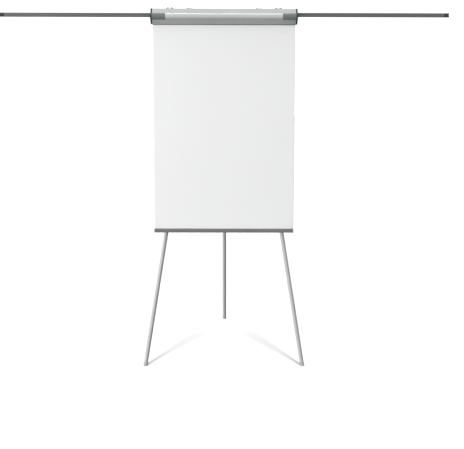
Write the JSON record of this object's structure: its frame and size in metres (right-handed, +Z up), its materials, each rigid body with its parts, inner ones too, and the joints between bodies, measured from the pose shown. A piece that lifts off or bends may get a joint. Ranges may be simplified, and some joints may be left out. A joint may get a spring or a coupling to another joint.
{
  "type": "flipchart easel",
  "caption": "Tripod easel with a lacquered writing board, a flip-up paper clamp with pad hooks, a pen tray, two sliding side arms and telescopic legs.",
  "frame": {"origin": "on the floor, at the middle of the whole easel's width and depth", "axes": "+X to the right of someone facing the writing face, +Y from the writing face towards the rear leg, +Z up"},
  "size_m": [2.208, 0.7814, 1.791],
  "materials": {
    "white_lacquer": "gloss white lacquer",
    "board_core": "plain",
    "back_sheet": "matt grey",
    "tray_grey": "satin dark grey",
    "tray_cap_grey": "satin",
    "satin_aluminium": "satin anodised",
    "plate_grey": "satin",
    "block_grey": "matt",
    "black_plastic": "matt",
    "jaw_rubber": "matt",
    "black_steel": "satin black",
    "zinc_steel": "zinc plated",
    "knob_grey": "satin",
    "arm_grey": "satin dark grey",
    "leg_tube": "satin anodised",
    "foot_grey": "matt"
  },
  "bodies": {
    "stand": {"board_face": "white_lacquer", "board_core": "board_core", "board_back": "back_sheet", "panel_screws": "zinc_steel", "pen_tray": "tray_grey", "tray_end_cap_left": "tray_cap_grey", "tray_end_cap_right": "tray_cap_grey", "head_rail": "satin_aluminium", "rail_end_plate_left": "plate_grey", "rail_end_plate_right": "plate_grey", "hinge_brackets": "black_steel", "hinge_pins": "zinc_steel", "leg_hub": "black_steel", "pivot_spacers": "black_plastic", "pivot_bolts": "zinc_steel", "spread_guide_left": "black_steel", "spread_guide_right": "black_steel"},
    "clamp": {"clamp_bar": "satin_aluminium", "clamp_end_block_left": "block_grey", "clamp_end_block_right": "block_grey", "clamp_end_cap_left": "black_plastic", "clamp_end_cap_right": "black_plastic", "jaw_strip": "jaw_rubber", "hinge_leaves": "black_steel", "clamp_rivets": "zinc_steel", "clamp_springs": "zinc_steel"},
    "hook_left": {"pad_hook_left": "zinc_steel", "hook_stud_left": "zinc_steel"},
    "hook_nut_left": {"hook_wing_nut_left": "knob_grey"},
    "arm_left": {"arm_tube_left": "arm_grey", "arm_tip_left": "black_plastic", "arm_stop_left": "black_plastic"},
    "hook_right": {"pad_hook_right": "zinc_steel", "hook_stud_right": "zinc_steel"},
    "hook_nut_right": {"hook_wing_nut_right": "knob_grey"},
    "arm_right": {"arm_tube_right": "arm_grey", "arm_tip_right": "black_plastic", "arm_stop_right": "black_plastic"},
    "leg_left": {"leg_upper_tube_left": "leg_tube", "leg_top_plug_left": "black_plastic", "leg_collar_left": "black_plastic"},
    "leg_slider_left": {"leg_lower_tube_left": "leg_tube", "leg_bush_left": "black_plastic", "leg_foot_left": "foot_grey"},
    "leg_screw_left": {"leg_wing_screw_left": "knob_grey"},
    "leg_right": {"leg_upper_tube_right": "leg_tube", "leg_top_plug_right": "black_plastic", "leg_collar_right": "black_plastic"},
    "leg_slider_right": {"leg_lower_tube_right": "leg_tube", "leg_bush_right": "black_plastic", "leg_foot_right": "foot_grey"},
    "leg_screw_right": {"leg_wing_screw_right": "knob_grey"},
    "leg_rear": {"leg_upper_tube_rear": "leg_tube", "leg_top_plug_rear": "black_plastic", "leg_collar_rear": "black_plastic"},
    "leg_slider_rear": {"leg_lower_tube_rear": "leg_tube", "leg_bush_rear": "black_plastic", "leg_foot_rear": "foot_grey"},
    "leg_screw_rear": {"leg_wing_screw_rear": "knob_grey"}
  },
  "joints": [
    {"name": "clamp_lift", "type": "hinge", "parent": "stand", "child": "clamp", "pos_m": [0, -0.15775, 1.78237], "axis": [-1, 0, 0], "range_deg": [0, 55], "stiffness_Nm_per_rad": 0.5, "springref_deg": -57.3},
    {"name": "hook_slide_left", "type": "slide", "parent": "stand", "child": "hook_left", "axis": [-1, 0, 0], "range_m": [-0.055, 0.055]},
    {"name": "hook_nut_turn_left", "type": "hinge", "parent": "hook_left", "child": "hook_nut_left", "pos_m": [-0.267, -0.14753, 1.77962], "axis": [0, 0.1392, 0.9903], "range_deg": [0, 270]},
    {"name": "arm_slide_left", "type": "slide", "parent": "stand", "child": "arm_left", "axis": [-1, 0, 0], "range_m": [-0.6375, 0]},
    {"name": "hook_slide_right", "type": "slide", "parent": "stand", "child": "hook_right", "axis": [1, 0, 0], "range_m": [-0.055, 0.055]},
    {"name": "hook_nut_turn_right", "type": "hinge", "parent": "hook_right", "child": "hook_nut_right", "pos_m": [0.267, -0.14753, 1.77962], "axis": [0, 0.1392, 0.9903], "range_deg": [0, 270]},
    {"name": "arm_slide_right", "type": "slide", "parent": "stand", "child": "arm_right", "axis": [1, 0, 0], "range_m": [-0.6375, 0]},
    {"name": "leg_fold_left", "type": "hinge", "parent": "stand", "child": "leg_left", "pos_m": [-0.128, -0.1428, 1.68757], "axis": [0, -0.9903, 0.1392], "range_deg": [0, 9.35]},
    {"name": "leg_slide_left", "type": "slide", "parent": "leg_left", "child": "leg_slider_left", "axis": [-0.1625, -0.1373, -0.9771], "range_m": [-0.602, 0.131]},
    {"name": "leg_screw_turn_left", "type": "hinge", "parent": "leg_left", "child": "leg_screw_left", "pos_m": [-0.27391, -0.23642, 0.80585], "axis": [0, 0.9903, -0.1392], "range_deg": [0, 270]},
    {"name": "leg_fold_right", "type": "hinge", "parent": "stand", "child": "leg_right", "pos_m": [0.128, -0.1428, 1.68757], "axis": [0, 0.9903, -0.1392], "range_deg": [0, 9.35]},
    {"name": "leg_slide_right", "type": "slide", "parent": "leg_right", "child": "leg_slider_right", "axis": [0.1625, -0.1373, -0.9771], "range_m": [-0.602, 0.131]},
    {"name": "leg_screw_turn_right", "type": "hinge", "parent": "leg_right", "child": "leg_screw_right", "pos_m": [0.27391, -0.23642, 0.80585], "axis": [0, 0.9903, -0.1392], "range_deg": [0, 270]},
    {"name": "leg_fold_rear", "type": "hinge", "parent": "stand", "child": "leg_rear", "pos_m": [0, -0.12695, 1.68534], "axis": [-1, 0, 0], "range_deg": [0, 24.5]},
    {"name": "leg_slide_rear", "type": "slide", "parent": "leg_rear", "child": "leg_slider_rear", "axis": [0, 0.2881, -0.9576], "range_m": [-0.715, 0.131]},
    {"name": "leg_screw_turn_rear", "type": "hinge", "parent": "leg_rear", "child": "leg_screw_rear", "pos_m": [0, 0.193, 0.72589], "axis": [0, 0.9576, 0.2881], "range_deg": [0, 270]}
  ]
}
